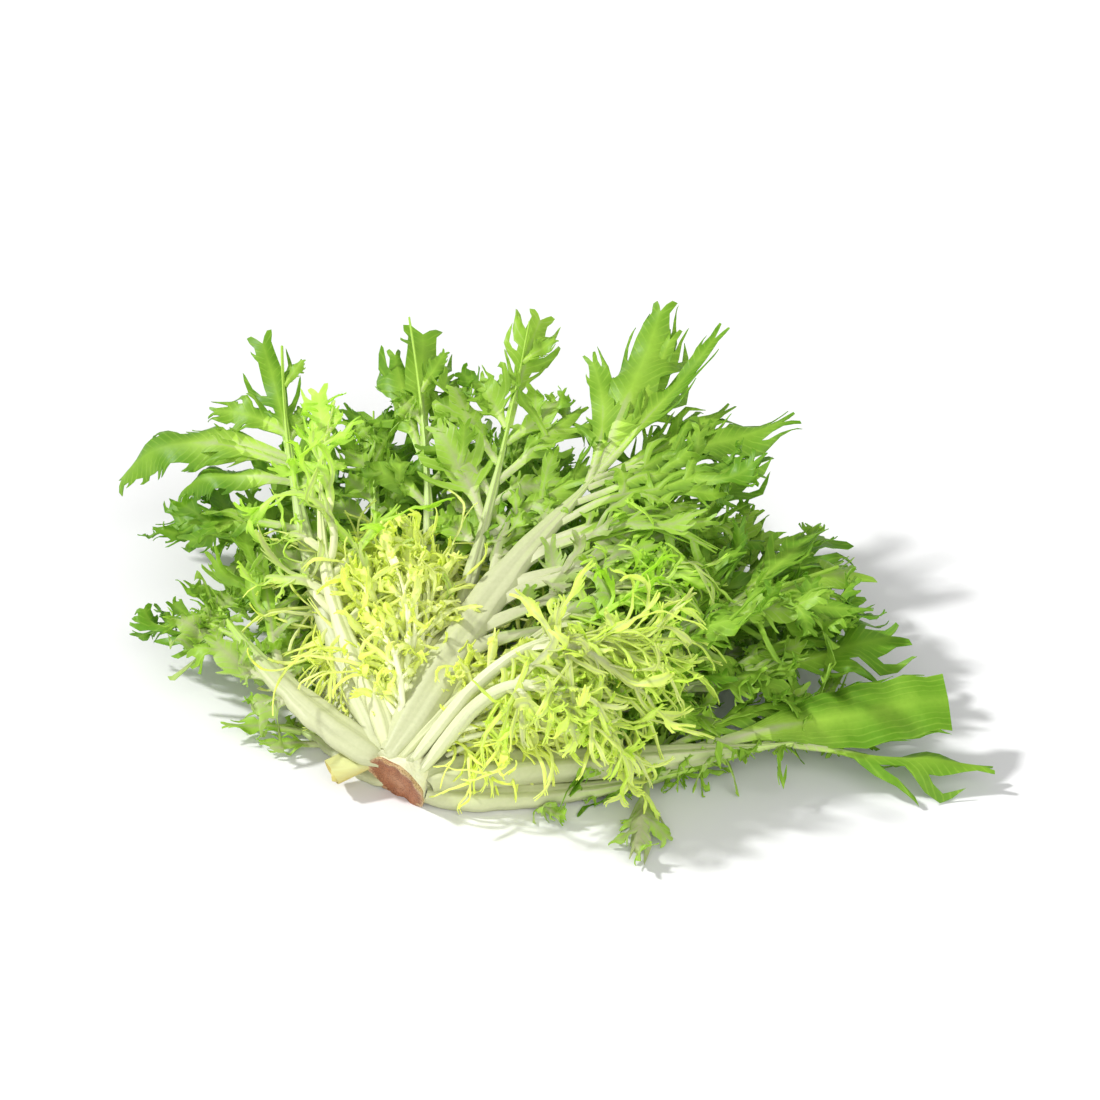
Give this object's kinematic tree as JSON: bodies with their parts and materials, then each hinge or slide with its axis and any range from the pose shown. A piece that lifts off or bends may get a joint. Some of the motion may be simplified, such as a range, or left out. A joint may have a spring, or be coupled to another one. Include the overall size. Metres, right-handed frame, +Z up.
{
  "type": "frisee head",
  "caption": "Whole head of curly endive lying on its side, fanned open from a cut crown into finely cut green, lime and yellow leaves on pale ribs.",
  "frame": {"origin": "middle of the small flat spot under the crown that the head rests on, at the height of the surface", "axes": "+X to the right across the fan of leaves, +Y away from the cut end, +Z up"},
  "size_m": [0.313, 0.2418, 0.0924],
  "materials": {
    "outer_leaf": "soft satin leaf, green with pale ribs",
    "middle_leaf": "soft satin leaf, lime green",
    "heart_leaf": "soft satin leaf, blanched yellow",
    "crown": "smooth white stem with a browned cut",
    "cut_stalk": "dried olive stalk"
  },
  "bodies": {
    "root": {"crown": "crown", "cut_stalk": "cut_stalk", "heart": "heart_leaf", "leaf_main": "outer_leaf", "leaf_front_left": "outer_leaf", "leaf_over_left": "middle_leaf", "leaf_front_right": "outer_leaf", "leaf_tall_left": "outer_leaf", "leaf_back_left": "outer_leaf", "leaf_back_middle": "outer_leaf", "leaf_slim": "outer_leaf", "leaf_back_right": "outer_leaf", "leaf_right_upper": "outer_leaf", "leaf_right_lower": "outer_leaf", "leaf_fringe_1": "middle_leaf", "leaf_fringe_2": "middle_leaf", "leaf_fringe_3": "middle_leaf", "leaf_under_1": "outer_leaf", "leaf_under_2": "outer_leaf", "leaf_under_3": "outer_leaf", "leaf_under_4": "outer_leaf", "leaf_floor_1": "outer_leaf", "leaf_floor_2": "outer_leaf", "leaf_floor_3": "outer_leaf", "leaf_floor_4": "outer_leaf", "leaf_floor_5": "outer_leaf", "leaf_floor_6": "outer_leaf"}
  },
  "joints": []
}
